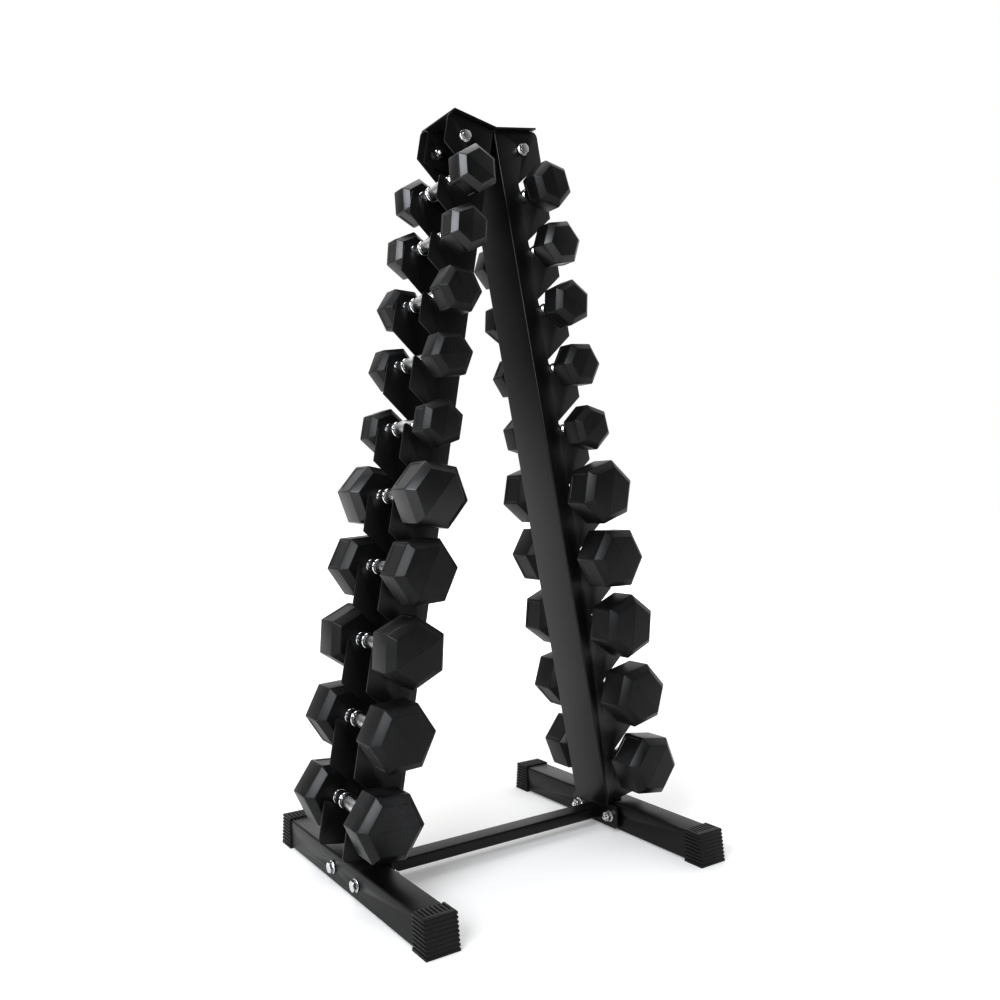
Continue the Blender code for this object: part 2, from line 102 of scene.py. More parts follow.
class RackSteelSettings(bpy.types.PropertyGroup):
    """Edges, bends and colour of the coated steel"""

    edge_ease: FloatProperty(
        name="Edge Ease",
        description="Rounding of the cut edges of sheet and plate",
        default=0.0005,
        min=0.0001,
        max=0.001,
        unit="LENGTH",
        precision=4,
    )
    bend_radius: FloatProperty(
        name="Bend Radius",
        description="Outer radius where a channel's web turns into its flanges",
        default=0.003,
        min=0.001,
        max=0.006,
        unit="LENGTH",
        precision=4,
    )
    tube_radius: FloatProperty(
        name="Tube Corner Radius",
        description="Outer radius of the long corners of the foot tubes and the cross bar",
        default=0.0035,
        min=0.001,
        max=0.006,
        unit="LENGTH",
        precision=4,
    )
    coat: FloatVectorProperty(
        name="Powder Coat",
        description="Colour of the powder coat",
        default=(0.0034, 0.0034, 0.0035),
        min=0.0,
        max=1.0,
        size=3,
        subtype="COLOR",
    )
    bright: FloatVectorProperty(
        name="Bright Plate",
        description="Colour of the plated bolts, nuts and washers",
        default=(0.74, 0.74, 0.75),
        min=0.0,
        max=1.0,
        size=3,
        subtype="COLOR",
    )
    plastic: FloatVectorProperty(
        name="Cap Plastic",
        description="Colour of the moulded foot caps",
        default=(0.0070, 0.0070, 0.0072),
        min=0.0,
        max=1.0,
        size=3,
        subtype="COLOR",
    )


class RackCapSettings(bpy.types.PropertyGroup):
    """Ribs of the foot caps"""

    side_grooves: IntProperty(
        name="Side Grooves",
        description="Grooves across each side of a cap",
        default=8,
        min=1,
        max=14,
    )
    top_grooves: IntProperty(
        name="Top Grooves",
        description="Grooves along the top of a cap",
        default=7,
        min=1,
        max=14,
    )
    groove_width: FloatProperty(
        name="Groove Width",
        description="Width of one groove",
        default=0.0028,
        min=0.0005,
        max=0.005,
        unit="LENGTH",
        precision=4,
    )
    groove_depth: FloatProperty(
        name="Groove Depth",
        description="Depth of one groove",
        default=0.0018,
        min=0.0003,
        max=0.002,
        unit="LENGTH",
        precision=4,
    )


class RackHeadSettings(bpy.types.PropertyGroup):
    """Shape and colour of the rubber heads"""

    corner_radius: FloatProperty(
        name="Corner Radius",
        description="Rounding of the edges of a moulded head",
        default=0.0013,
        min=0.0003,
        max=0.004,
        unit="LENGTH",
        precision=4,
    )
    panel_margin: FloatProperty(
        name="Panel Margin",
        description="Rim left round the sunk panel of a side flat",
        default=0.0045,
        min=0.002,
        max=0.012,
        unit="LENGTH",
        precision=4,
    )
    panel_depth: FloatProperty(
        name="Panel Depth",
        description="How far a panel is sunk",
        default=0.0010,
        min=0.0002,
        max=0.003,
        unit="LENGTH",
        precision=4,
    )
    panel_slope: FloatProperty(
        name="Panel Slope",
        description="Width of the sloping border of a panel",
        default=0.0014,
        min=0.0002,
        max=0.004,
        unit="LENGTH",
        precision=4,
    )
    seam_width: FloatProperty(
        name="Seam Width",
        description="Width of the mould's parting line across the end of a head",
        default=0.0005,
        min=0.0002,
        max=0.002,
        unit="LENGTH",
        precision=4,
    )
    rubber: FloatVectorProperty(
        name="Rubber",
        description="Colour of the rubber",
        default=(0.0050, 0.0050, 0.0052),
        min=0.0,
        max=1.0,
        size=3,
        subtype="COLOR",
    )
    dust: FloatVectorProperty(
        name="Dust",
        description="Colour of the dusty bloom on the rubber",
        default=(0.060, 0.062, 0.070),
        min=0.0,
        max=1.0,
        size=3,
        subtype="COLOR",
    )
    bloom: FloatProperty(
        name="Bloom",
        description="How thick the dusty bloom lies",
        default=0.34,
        min=0.0,
        max=0.45,
        subtype="FACTOR",
    )


class RackHandleSettings(bpy.types.PropertyGroup):
    """Profile and colour of the handles"""

    neck_radius: FloatProperty(
        name="Neck Radius",
        description="Radius where the handle lies on the hooks",
        default=0.0110,
        min=0.008,
        max=0.0112,
        unit="LENGTH",
        precision=4,
    )
    grip_radius: FloatProperty(
        name="Grip Radius",
        description="Radius in the middle of the hand",
        default=0.0140,
        min=0.010,
        max=0.017,
        unit="LENGTH",
        precision=4,
    )
    grip_length: FloatProperty(
        name="Grip Length",
        description="Length of the knurled part",
        default=0.062,
        min=0.020,
        max=0.090,
        unit="LENGTH",
        precision=4,
    )
    chrome: FloatVectorProperty(
        name="Chrome",
        description="Colour of the handles",
        default=(0.80, 0.80, 0.81),
        min=0.0,
        max=1.0,
        size=3,
        subtype="COLOR",
    )


class RackStudioSettings(bpy.types.PropertyGroup):
    """Floor, light and camera"""

    floor: FloatVectorProperty(
        name="Floor",
        description="Colour of the floor",
        default=(0.66, 0.66, 0.655),
        min=0.0,
        max=1.0,
        size=3,
        subtype="COLOR",
    )
    side_power: FloatProperty(
        name="Side Power",
        description="Power of the large soft light on the left",
        default=32.0,
        min=0.0,
        max=2000.0,
        subtype="POWER",
    )
    front_power: FloatProperty(
        name="Front Power",
        description="Power of the soft light beyond the front left corner",
        default=106.0,
        min=0.0,
        max=2000.0,
        subtype="POWER",
    )
    top_power: FloatProperty(
        name="Top Power",
        description="Power of the soft light above",
        default=65.0,
        min=0.0,
        max=2000.0,
        subtype="POWER",
    )
    backdrop: FloatProperty(
        name="Backdrop Light",
        description="Strength of the light from the white backdrop",
        default=1.25,
        min=0.0,
        max=2.0,
    )
    room: FloatProperty(
        name="Room Light",
        description="Strength of the light from the dim side of the room",
        default=0.08,
        min=0.0,
        max=2.0,
    )


# ---- Selecting and editing -------------------------------------------------------------------


def deselect_all():
    bpy.ops.object.select_all(action="DESELECT")


def make_active(piece):
    deselect_all()
    bpy.context.view_layer.objects.active = piece
    piece.select_set(True)


def open_edit(piece, mode="FACE"):
    make_active(piece)
    bpy.ops.object.mode_set(mode="EDIT")
    bpy.ops.mesh.select_mode(type=mode)
    bpy.ops.mesh.select_all(action="DESELECT")


def close_edit():
    bpy.ops.object.mode_set(mode="OBJECT")


def pick_faces(piece, wanted):
    """In edit mode, select the faces that a test accepts, and no others."""
    bpy.ops.mesh.select_mode(type="FACE")
    bpy.ops.mesh.select_all(action="DESELECT")
    mesh = bmesh.from_edit_mesh(piece.data)
    mesh.normal_update()
    count = 0
    for face in mesh.faces:
        if wanted(face):
            face.select_set(True)
            count += 1
    bmesh.update_edit_mesh(piece.data)
    return count


def pick_edges(piece, wanted):
    """In edit mode, select the edges that a test accepts, and no others."""
    bpy.ops.mesh.select_mode(type="EDGE")
    bpy.ops.mesh.select_all(action="DESELECT")
    mesh = bmesh.from_edit_mesh(piece.data)
    mesh.normal_update()
    count = 0
    for edge in mesh.edges:
        if wanted(edge):
            edge.select_set(True)
            count += 1
    bmesh.update_edit_mesh(piece.data)
    return count


def middle(edge):
    return (edge.verts[0].co + edge.verts[1].co) / 2


def direction(edge):
    return (edge.verts[1].co - edge.verts[0].co).normalized()


def is_sharp(edge, degrees=25):
    return len(edge.link_faces) == 2 and edge.calc_face_angle(0.0) > math.radians(degrees)


def set_place(piece):
    """Put a piece's place, turn and scale into its mesh."""
    make_active(piece)
    bpy.ops.object.transform_apply(location=True, rotation=True, scale=True)


def smooth(piece, degrees=32):
    make_active(piece)
    bpy.ops.object.shade_smooth_by_angle(angle=math.radians(degrees))


def apply_modifier(piece, modifier):
    make_active(piece)
    bpy.ops.object.modifier_apply(modifier=modifier.name)


def ease_edges(piece, width, segments=2, degrees=30):
    bevel = piece.modifiers.new("eased_edges", "BEVEL")
    bevel.width = width
    bevel.segments = segments
    bevel.limit_method = "ANGLE"
    bevel.angle_limit = math.radians(degrees)
    bevel.miter_outer = "MITER_ARC"
    bevel.use_clamp_overlap = True
    apply_modifier(piece, bevel)


def subtract(piece, tool, operation="DIFFERENCE"):
    change = piece.modifiers.new("cut", "BOOLEAN")
    change.operation = operation
    change.solver = "EXACT"
    change.object = tool
    apply_modifier(piece, change)
    bpy.data.objects.remove(tool, do_unlink=True)


def block(name, low, high):
    """A block between two corners, ready to be shaped."""
    low, high = Vector(low), Vector(high)
    deselect_all()
    bpy.ops.mesh.primitive_cube_add(size=1.0, location=(low + high) / 2)
    piece = bpy.context.object
    piece.name = name
    piece.scale = high - low
    set_place(piece)
    return piece


def disc(name, radius, sides, low, high):
    """An upright bar about the Z axis, ready to be shaped."""
    deselect_all()
    bpy.ops.mesh.primitive_cylinder_add(
        vertices=sides, radius=radius, depth=high - low, location=(0, 0, (low + high) / 2)
    )
    piece = bpy.context.object
    piece.name = name
    set_place(piece)
    return piece


def turned(name, profile, sides):
    """A solid of revolution about the Z axis: a disc drawn up ring by ring along a profile."""
    radius, level = profile[0]
    deselect_all()
    bpy.ops.mesh.primitive_circle_add(
        vertices=sides, radius=radius, fill_type="NGON", location=(0, 0, level)
    )
    piece = bpy.context.object
    piece.name = name
    set_place(piece)
    open_edit(piece)
    bpy.ops.mesh.select_all(action="SELECT")
    for next_radius, next_level in profile[1:]:
        bpy.ops.mesh.extrude_region_move(
            TRANSFORM_OT_translate={"value": (0, 0, next_level - level)}
        )
        if next_radius != radius:
            share = next_radius / radius
            bpy.ops.transform.resize(value=(share, share, 1), center_override=(0, 0, next_level))
        radius, level = next_radius, next_level
    bpy.ops.mesh.select_all(action="SELECT")
    bpy.ops.mesh.normals_make_consistent(inside=False)
    close_edit()
    return piece


def copy_of(pattern, name, matrix):
    """A separate copy of a pattern piece, put in its place."""
    piece = bpy.data.objects.new(name, pattern.data.copy())
    bpy.context.scene.collection.objects.link(piece)
    piece.data.transform(matrix)
    piece.data.name = name
    return piece


def finish_piece(piece, node, body, material):
    piece.data.materials.clear()
    piece.data.materials.append(material)
    for face in piece.data.polygons:
        face.material_index = 0
    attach(piece, body)
    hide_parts(node)


# ---- Materials -------------------------------------------------------------------------------


def new_group(name, inputs, outputs):
    """A shader node group with named sockets, and its input and output nodes."""
    group = bpy.data.node_groups.new(name, "ShaderNodeTree")
    for label, kind, default in inputs:
        socket = group.interface.new_socket(label, in_out="INPUT", socket_type=kind)
        socket.default_value = default
    for label, kind in outputs:
        group.interface.new_socket(label, in_out="OUTPUT", socket_type=kind)
    entry = group.nodes.new("NodeGroupInput")
    leave = group.nodes.new("NodeGroupOutput")
    entry.location = (-900, 0)
    leave.location = (700, 0)
    return group, entry, leave


def add_node(tree, kind, place, **settings):
    node = tree.nodes.new(kind)
    node.location = place
    for key, value in settings.items():
        setattr(node, key, value)
    return node


def fine_grain_group():
    """Small bumps of a sprayed or moulded skin, in the object's own space."""
    name = "Fine Grain"
    if name in bpy.data.node_groups:
        return bpy.data.node_groups[name]
    group, entry, leave = new_group(
        name,
        [
            ("Scale", "NodeSocketFloat", 600.0),
            ("Height", "NodeSocketFloat", 0.0001),
            ("Strength", "NodeSocketFloat", 0.3),
        ],
        [("Normal", "NodeSocketVector"), ("Grain", "NodeSocketFloat")],
    )
    place = add_node(group, "ShaderNodeTexCoord", (-700, 200))
    noise = add_node(group, "ShaderNodeTexNoise", (-450, 100))
    noise.inputs["Detail"].default_value = 3.0
    bump = add_node(group, "ShaderNodeBump", (200, 0))
    link = group.links.new
    link(place.outputs["Object"], noise.inputs["Vector"])
    link(entry.outputs["Scale"], noise.inputs["Scale"])
    link(noise.outputs["Fac"], bump.inputs["Height"])
    link(entry.outputs["Height"], bump.inputs["Distance"])
    link(entry.outputs["Strength"], bump.inputs["Strength"])
    link(bump.outputs["Normal"], leave.inputs["Normal"])
    link(noise.outputs["Fac"], leave.inputs["Grain"])
    return group


def handling_group():
    """Soft patches where a surface has been handled or has gathered dust."""
    name = "Handling Marks"
    if name in bpy.data.node_groups:
        return bpy.data.node_groups[name]
    group, entry, leave = new_group(
        name,
        [
            ("Patch Scale", "NodeSocketFloat", 14.0),
            ("Fleck Scale", "NodeSocketFloat", 260.0),
            ("Amount", "NodeSocketFloat", 0.5),
            ("Upper Faces", "NodeSocketFloat", 0.0),
        ],
        [("Mask", "NodeSocketFloat")],
    )
    place = add_node(group, "ShaderNodeTexCoord", (-900, 300))
    patches = add_node(group, "ShaderNodeTexNoise", (-650, 300))
    patches.inputs["Detail"].default_value = 4.0
    patches.inputs["Roughness"].default_value = 0.6
    patch_ramp = add_node(group, "ShaderNodeMapRange", (-400, 300), clamp=True)
    patch_ramp.inputs["From Min"].default_value = 0.46
    patch_ramp.inputs["From Max"].default_value = 0.72
    flecks = add_node(group, "ShaderNodeTexNoise", (-650, 0))
    flecks.inputs["Detail"].default_value = 6.0
    fleck_ramp = add_node(group, "ShaderNodeMapRange", (-400, 0), clamp=True)
    fleck_ramp.inputs["From Min"].default_value = 0.35
    fleck_ramp.inputs["From Max"].default_value = 0.75
    fleck_ramp.inputs["To Min"].default_value = 0.45
    surface = add_node(group, "ShaderNodeNewGeometry", (-900, -300))
    upward = add_node(group, "ShaderNodeSeparateXYZ", (-650, -300))
    rise = add_node(group, "ShaderNodeMapRange", (-400, -300), clamp=True)
    rise.inputs["From Min"].default_value = -0.1
    rise.inputs["From Max"].default_value = 0.9
    only_up = add_node(group, "ShaderNodeMix", (-150, -300))
    only_up.inputs["A"].default_value = 1.0
    both = add_node(group, "ShaderNodeMath", (-150, 200), operation="MULTIPLY")
    shaded = add_node(group, "ShaderNodeMath", (80, 100), operation="MULTIPLY")
    share = add_node(group, "ShaderNodeMath", (300, 100), operation="MULTIPLY")
    link = group.links.new
    link(place.outputs["Object"], patches.inputs["Vector"])
    link(place.outputs["Object"], flecks.inputs["Vector"])
    link(entry.outputs["Patch Scale"], patches.inputs["Scale"])
    link(entry.outputs["Fleck Scale"], flecks.inputs["Scale"])
    link(patches.outputs["Fac"], patch_ramp.inputs["Value"])
    link(flecks.outputs["Fac"], fleck_ramp.inputs["Value"])
    link(surface.outputs["Normal"], upward.inputs["Vector"])
    link(upward.outputs["Z"], rise.inputs["Value"])
    link(entry.outputs["Upper Faces"], only_up.inputs["Factor"])
    link(rise.outputs["Result"], only_up.inputs["B"])
    link(patch_ramp.outputs["Result"], both.inputs[0])
    link(fleck_ramp.outputs["Result"], both.inputs[1])
    link(both.outputs["Value"], shaded.inputs[0])
    link(only_up.outputs["Result"], shaded.inputs[1])
    link(shaded.outputs["Value"], share.inputs[0])
    link(entry.outputs["Amount"], share.inputs[1])
    link(share.outputs["Value"], leave.inputs["Mask"])
    return group


def add_group(tree, group, place, **values):
    node = add_node(tree, "ShaderNodeGroup", place)
    node.node_tree = group
    for label, value in values.items():
        node.inputs[label.replace("_", " ").title()].default_value = value
    return node


def skin_material(name, colour, marks_colour, roughness, marked_roughness, grain, marks):
    """A dark skin with fine grain, and handling marks that change its colour and gloss."""
    if name in bpy.data.materials:
        return bpy.data.materials[name]
    material = bpy.data.materials.new(name)
    material.use_nodes = True
    tree = material.node_tree
    shader = tree.nodes["Principled BSDF"]
    grain_node = add_group(tree, fine_grain_group(), (-500, -300), **grain)
    marks_node = add_group(tree, handling_group(), (-700, 100), **marks)
    tone = add_node(tree, "ShaderNodeMix", (-400, 250), data_type="RGBA")
    tone.inputs["A"].default_value = (*colour, 1.0)
    tone.inputs["B"].default_value = (*marks_colour, 1.0)
    gloss = add_node(tree, "ShaderNodeMapRange", (-400, 0), clamp=True)
    gloss.inputs["To Min"].default_value = roughness
    gloss.inputs["To Max"].default_value = marked_roughness
    link = tree.links.new
    link(marks_node.outputs["Mask"], tone.inputs["Factor"])
    link(marks_node.outputs["Mask"], gloss.inputs["Value"])
    link(tone.outputs["Result"], shader.inputs["Base Color"])
    link(gloss.outputs["Result"], shader.inputs["Roughness"])
    link(grain_node.outputs["Normal"], shader.inputs["Normal"])
    return material


def powder_coat():
    steel = bpy.context.scene.rack_steel
    material = skin_material(
        "powder_coated_steel",
        tuple(steel.coat),
        (0.024, 0.024, 0.025),
        0.36,
        0.48,
        {"scale": 1100.0, "height": 0.00008, "strength": 0.35},
        {"patch_scale": 9.0, "fleck_scale": 220.0, "amount": 0.35, "upper_faces": 0.3},
    )
    material.node_tree.nodes["Principled BSDF"].inputs["Specular IOR Level"].default_value = 0.42
    return material


def cap_plastic():
    steel = bpy.context.scene.rack_steel
    material = skin_material(
        "moulded_cap_plastic",
        tuple(steel.plastic),
        (0.028, 0.028, 0.029),
        0.50,
        0.62,
        {"scale": 900.0, "height": 0.00010, "strength": 0.4},
        {"patch_scale": 22.0, "fleck_scale": 300.0, "amount": 0.35, "upper_faces": 0.4},
    )
    material.node_tree.nodes["Principled BSDF"].inputs["Specular IOR Level"].default_value = 0.35
    return material


def head_rubber(node):
    """Rubber with a dusty bloom: smooth where many hands wore it, and paler all over where a finish
    lays on a thicker bloom.
    """
    heads = bpy.context.scene.rack_heads
    finish = HEAD_FINISHES.get(node, "moulded")
    roughness, specular, bloom = RUBBER_FINISHES[finish]
    material = skin_material(
        "head_rubber_" + finish,
        tuple(heads.rubber),
        tuple(heads.dust),
        roughness,
        roughness + DUSTY_ROUGHER,
        {"scale": 750.0, "height": 0.00010, "strength": 0.35},
        {
            "patch_scale": 17.0,
            "fleck_scale": 240.0,
            "amount": heads.bloom * bloom,
            "upper_faces": 0.6,
        },
    )
    shader = material.node_tree.nodes["Principled BSDF"]
    shader.inputs["Specular IOR Level"].default_value = specular
    return material


def bright_metal(name, colour, low, high, scratch_scale):
    """Plated metal with faint, uneven polish."""
    if name in bpy.data.materials:
        return bpy.data.materials[name]
    material = bpy.data.materials.new(name)
    material.use_nodes = True
    tree = material.node_tree
    shader = tree.nodes["Principled BSDF"]
    shader.inputs["Metallic"].default_value = 1.0
    marks = add_group(
        tree,
        handling_group(),
        (-700, 100),
        patch_scale=60.0,
        fleck_scale=scratch_scale,
        amount=1.0,
        upper_faces=0.0,
    )
    gloss = add_node(tree, "ShaderNodeMapRange", (-400, 0), clamp=True)
    gloss.inputs["To Min"].default_value = low
    gloss.inputs["To Max"].default_value = high
    tone = add_node(tree, "ShaderNodeMix", (-400, 250), data_type="RGBA")
    tone.inputs["A"].default_value = (*colour, 1.0)
    tone.inputs["B"].default_value = (*[0.8 * part for part in colour], 1.0)
    link = tree.links.new
    link(marks.outputs["Mask"], tone.inputs["Factor"])
    link(marks.outputs["Mask"], gloss.inputs["Value"])
    link(tone.outputs["Result"], shader.inputs["Base Color"])
    link(gloss.outputs["Result"], shader.inputs["Roughness"])
    return material


def fastener_plate():
    steel = bpy.context.scene.rack_steel
    return bright_metal("fastener_plate", tuple(steel.bright), 0.22, 0.40, 500.0)


def handle_chrome():
    """Chrome with a knurled band in the middle, on the piece's own unrolled coordinates."""
    name = "handle_chrome"
    if name in bpy.data.materials:
        return bpy.data.materials[name]
    colour = tuple(bpy.context.scene.rack_handles.chrome)
    grip = bpy.context.scene.rack_handles.grip_length
    material = bright_metal(name, colour, 0.16, 0.30, 400.0)
    tree = material.node_tree
    shader = tree.nodes["Principled BSDF"]
    unrolled = add_node(tree, "ShaderNodeUVMap", (-1500, -400), uv_map="unrolled")
    parts = add_node(tree, "ShaderNodeSeparateXYZ", (-1300, -600))
    waves = []
    for row, turn in enumerate((math.radians(35), math.radians(-35))):
        turned_map = add_node(tree, "ShaderNodeMapping", (-1300, -300 - 300 * row))
        turned_map.inputs["Rotation"].default_value = (0.0, 0.0, turn)
        wave = add_node(tree, "ShaderNodeTexWave", (-1100, -300 - 300 * row))
        wave.wave_profile = "TRI"
        wave.inputs["Scale"].default_value = 200.0
        tree.links.new(unrolled.outputs["UV"], turned_map.inputs["Vector"])
        tree.links.new(turned_map.outputs["Vector"], wave.inputs["Vector"])
        waves.append(wave)
    crossed = add_node(tree, "ShaderNodeMath", (-900, -400), operation="MINIMUM")
    along = add_node(tree, "ShaderNodeMath", (-1100, -900), operation="ABSOLUTE")
    band = add_node(tree, "ShaderNodeMapRange", (-900, -900), clamp=True)
    band.inputs["From Min"].default_value = grip / 2 - 0.003
    band.inputs["From Max"].default_value = grip / 2 - 0.004
    pattern = add_node(tree, "ShaderNodeMath", (-700, -500), operation="MULTIPLY")
    bump = add_node(tree, "ShaderNodeBump", (-400, -400))
    bump.inputs["Distance"].default_value = 0.0002
    bump.inputs["Strength"].default_value = 0.6
    link = tree.links.new
    link(unrolled.outputs["UV"], parts.inputs["Vector"])
    link(waves[0].outputs["Fac"], crossed.inputs[0])
    link(waves[1].outputs["Fac"], crossed.inputs[1])
    link(parts.outputs["Y"], along.inputs[0])
    link(along.outputs["Value"], band.inputs["Value"])
    link(crossed.outputs["Value"], pattern.inputs[0])
    link(band.outputs["Result"], pattern.inputs[1])
    link(pattern.outputs["Value"], bump.inputs["Height"])
    link(bump.outputs["Normal"], shader.inputs["Normal"])
    return material


# ---- Steelwork -------------------------------------------------------------------------------


def steel_copy(node):
    """A merged copy of an engineering part with flat faces in place of loose triangles."""
    name = node + "_steel"
    piece = bpy.data.objects.new(name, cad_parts[node].data.copy())
    piece.data.name = name
    bpy.context.scene.collection.objects.link(piece)
    make_active(piece)
    if piece.data.has_custom_normals:
        bpy.ops.mesh.customdata_custom_splitnormals_clear()
    open_edit(piece, "VERT")
    bpy.ops.mesh.select_all(action="SELECT")
    bpy.ops.mesh.remove_doubles(threshold=0.000005)
    bpy.ops.mesh.dissolve_limited(angle_limit=math.radians(0.5))
    bpy.ops.mesh.select_all(action="DESELECT")
    close_edit()
    return piece


def round_long_edges(piece, least, radius, segments, wanted=None):
    """Roll the longest corners of a piece to a radius."""
    open_edit(piece, "EDGE")
    count = pick_edges(
        piece,
        lambda edge: edge.calc_length() > least
        and is_sharp(edge)
        and (wanted is None or wanted(edge)),
    )
    if count:
        bpy.ops.mesh.bevel(offset=radius, segments=segments, profile=0.5, clamp_overlap=True)
    close_edit()
    return count


def finish_upright(piece, steel):
    low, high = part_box(piece.name.replace("_steel", ""))
    half = (high.y - low.y) / 2
    bends = round_long_edges(
        piece, 0.8, steel.bend_radius, 4, lambda edge: abs(abs(middle(edge).y) - half) < 0.0005
    )
    if bends != 2:
        raise RuntimeError(f"{piece.name} has {bends} outer bends and not 2")
    ease_edges(piece, steel.edge_ease, 2)


def finish_tube(piece, steel):
    low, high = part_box(piece.name.replace("_steel", ""))
    centre, half = (low + high) / 2, (high - low) / 2
    long_axis = max(range(3), key=lambda axis: half[axis])
    cross = [axis for axis in range(3) if axis != long_axis]

    def on_outside(edge):
        place = middle(edge) - centre
        return all(abs(abs(place[axis]) - half[axis]) < 0.0002 for axis in cross)

    round_long_edges(piece, 0.2, steel.tube_radius, 4, on_outside)
    ease_edges(piece, steel.edge_ease / 2, 2)


def steel_nodes():
    names = ["cross_bar", "top_bracket"]
    return names + [f"{side}_{part}" for side in SIDES for part in STEEL_PARTS]


class RACK_OT_steelwork(bpy.types.Operator):
    """Model the channels, feet, cross bar, plates, seats and top bracket with eased edges"""

    bl_idname = "rack.steelwork"
    bl_label = "Steelwork"

    def execute(self, context):
        steel = context.scene.rack_steel
        for node in steel_nodes():
            piece = steel_copy(node)
            if "upright" in node:
                finish_upright(piece, steel)
            elif "foot_tube" in node or node == "cross_bar":
                finish_tube(piece, steel)
            else:
                ease_edges(piece, steel.edge_ease, 2)
            smooth(piece)
            finish_piece(piece, node, "frame", powder_coat())
        return {"FINISHED"}


# ---- Foot caps -------------------------------------------------------------------------------


def groove_row(name, low, high, count, step):
    """Cutting bars for a row of equal grooves."""
    bars = block(name, low, high)
    row = bars.modifiers.new("row", "ARRAY")
    row.count = count
    row.use_relative_offset = False
    row.use_constant_offset = True
    row.constant_offset_displace = step
    apply_modifier(bars, row)
    return bars


def foot_cap(side, end, caps, steel):
    """A slanted, ribbed cap with a round-cornered pocket for its tube."""
    node = f"{side}_{end}_foot_cap"
    low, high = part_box(node)
    tube_low, tube_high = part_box(f"{side}_foot_tube")
    outward = -1 if end == "front" else 1
    tip, mouth = (low.y, high.y) if outward < 0 else (high.y, low.y)
    tube_end = tube_low.y if outward < 0 else tube_high.y
    cap = block(node + "_ribbed", low, high)
    slant = top_setback(node, outward)
    open_edit(cap, "VERT")
    mesh = bmesh.from_edit_mesh(cap.data)
    for vert in mesh.verts:
        vert.select_set(abs(vert.co.y - tip) < 1e-5 and vert.co.z > high.z - 1e-5)
    bmesh.update_edit_mesh(cap.data)
    bpy.ops.transform.translate(value=(0, -outward * slant, 0))
    bpy.ops.mesh.select_all(action="DESELECT")
    close_edit()
    round_long_edges(
        cap, 0.03, 0.0022, 3, lambda edge: abs(direction(edge).z) < 0.9
        and not (abs(middle(edge).y - mouth) < 1e-4)
        and not (middle(edge).z < low.z + 1e-4 and abs(direction(edge).y) > 0.5),
    )
    centre = (low.x + high.x) / 2
    half = (tube_high.x - tube_low.x) / 2 + 0.0003
    pocket_ends = sorted((tube_end + outward * 0.0003, mouth - outward * 0.02))
    pocket = block(
        "pocket",
        (centre - half, pocket_ends[0], tube_low.z - 0.0003),
        (centre + half, pocket_ends[1], tube_high.z + 0.0003),
    )
    round_long_edges(
        pocket, 0.03, steel.tube_radius, 4, lambda edge: abs(direction(edge).y) > 0.9
    )
    subtract(cap, pocket)
    depth, width = caps.groove_depth, caps.groove_width
    near, far = sorted((mouth - outward * 0.01, tip + outward * 0.01))
    rise = (high.z - low.z) / (caps.side_grooves + 1)
    for x in (low.x, high.x):
        bars = groove_row(
            "side_bars",
            (x - depth, near, low.z + rise - width / 2),
            (x + depth, far, low.z + rise + width / 2),
            caps.side_grooves,
            (0, 0, rise),
        )
        subtract(cap, bars)
    lean = -outward * slant / (high.z - low.z)  # the end's setback for each metre of height
    shallow, first = depth * 0.16, low.z + rise
    bars = groove_row(
        "end_bars",
        (low.x - 0.01, tip + lean * rise - shallow, first - width * 0.3),
        (high.x + 0.01, tip + lean * rise + shallow, first + width * 0.3),
        caps.side_grooves,
        (0, lean * rise, rise),
    )
    subtract(cap, bars)
    across = (high.x - low.x) / (caps.top_grooves + 1)
    near, far = sorted((mouth - outward * 0.01, tip - outward * 0.016))
    bars = groove_row(
        "top_bars",
        (low.x + across - width / 2, near, high.z - depth),
        (low.x + across + width / 2, far, high.z + depth),
        caps.top_grooves,
        (across, 0, 0),
    )
    subtract(cap, bars)
    ease_edges(cap, 0.0003, 2)
    smooth(cap)
    finish_piece(cap, node, "frame", cap_plastic())
    return cap


def top_setback(node, outward):
    """How much further back a cap's end lies at its top than at the floor."""
    low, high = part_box(node)
    tops = [v.co.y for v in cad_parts[node].data.vertices if v.co.z > high.z - 1e-4]
    tip = low.y if outward < 0 else high.y
    return abs(tip - (min(tops) if outward < 0 else max(tops)))


class RACK_OT_foot_caps(bpy.types.Operator):
    """Model the ribbed plastic caps on the ends of the foot tubes"""

    bl_idname = "rack.foot_caps"
    bl_label = "Foot Caps"

    def execute(self, context):
        for side in SIDES:
            for end in ENDS:
                foot_cap(side, end, context.scene.rack_caps, context.scene.rack_steel)
        return {"FINISHED"}


# ---- Fasteners -------------------------------------------------------------------------------


def hexagon_bar(name, radius, low, high, chamfered_top, chamfered_bottom):
    """A hexagon with its corners turned off at one or both ends, as on a nut or a bolt's head."""
    bar = disc(name, radius, 6, low, high)
    cut, flat = radius * 0.16, radius * 0.90
    start = (flat, low) if chamfered_bottom else (radius * 1.2, low)
    profile = [start]
    if chamfered_bottom:
        profile.append((radius * 1.06, low + cut))
    else:
        profile.append((radius * 1.2, low + cut))
    if chamfered_top:
        profile += [(radius * 1.06, high - cut), (flat, high)]
    else:
        profile += [(radius * 1.2, high - cut), (radius * 1.2, high)]
    cone = turned("turned_blank", profile, 48)
    subtract(bar, cone, "INTERSECT")
    return bar


def thread_profile(radius, low, high, pitch):
    """The outline of a thread's ridges along a shank."""
    profile = []
    level = low
    while level + pitch < high - pitch / 2:
        profile += [(radius, level), (radius * 0.90, level + pitch / 2)]
        level += pitch
    profile += [(radius, level), (radius * 0.82, high)]
    return profile


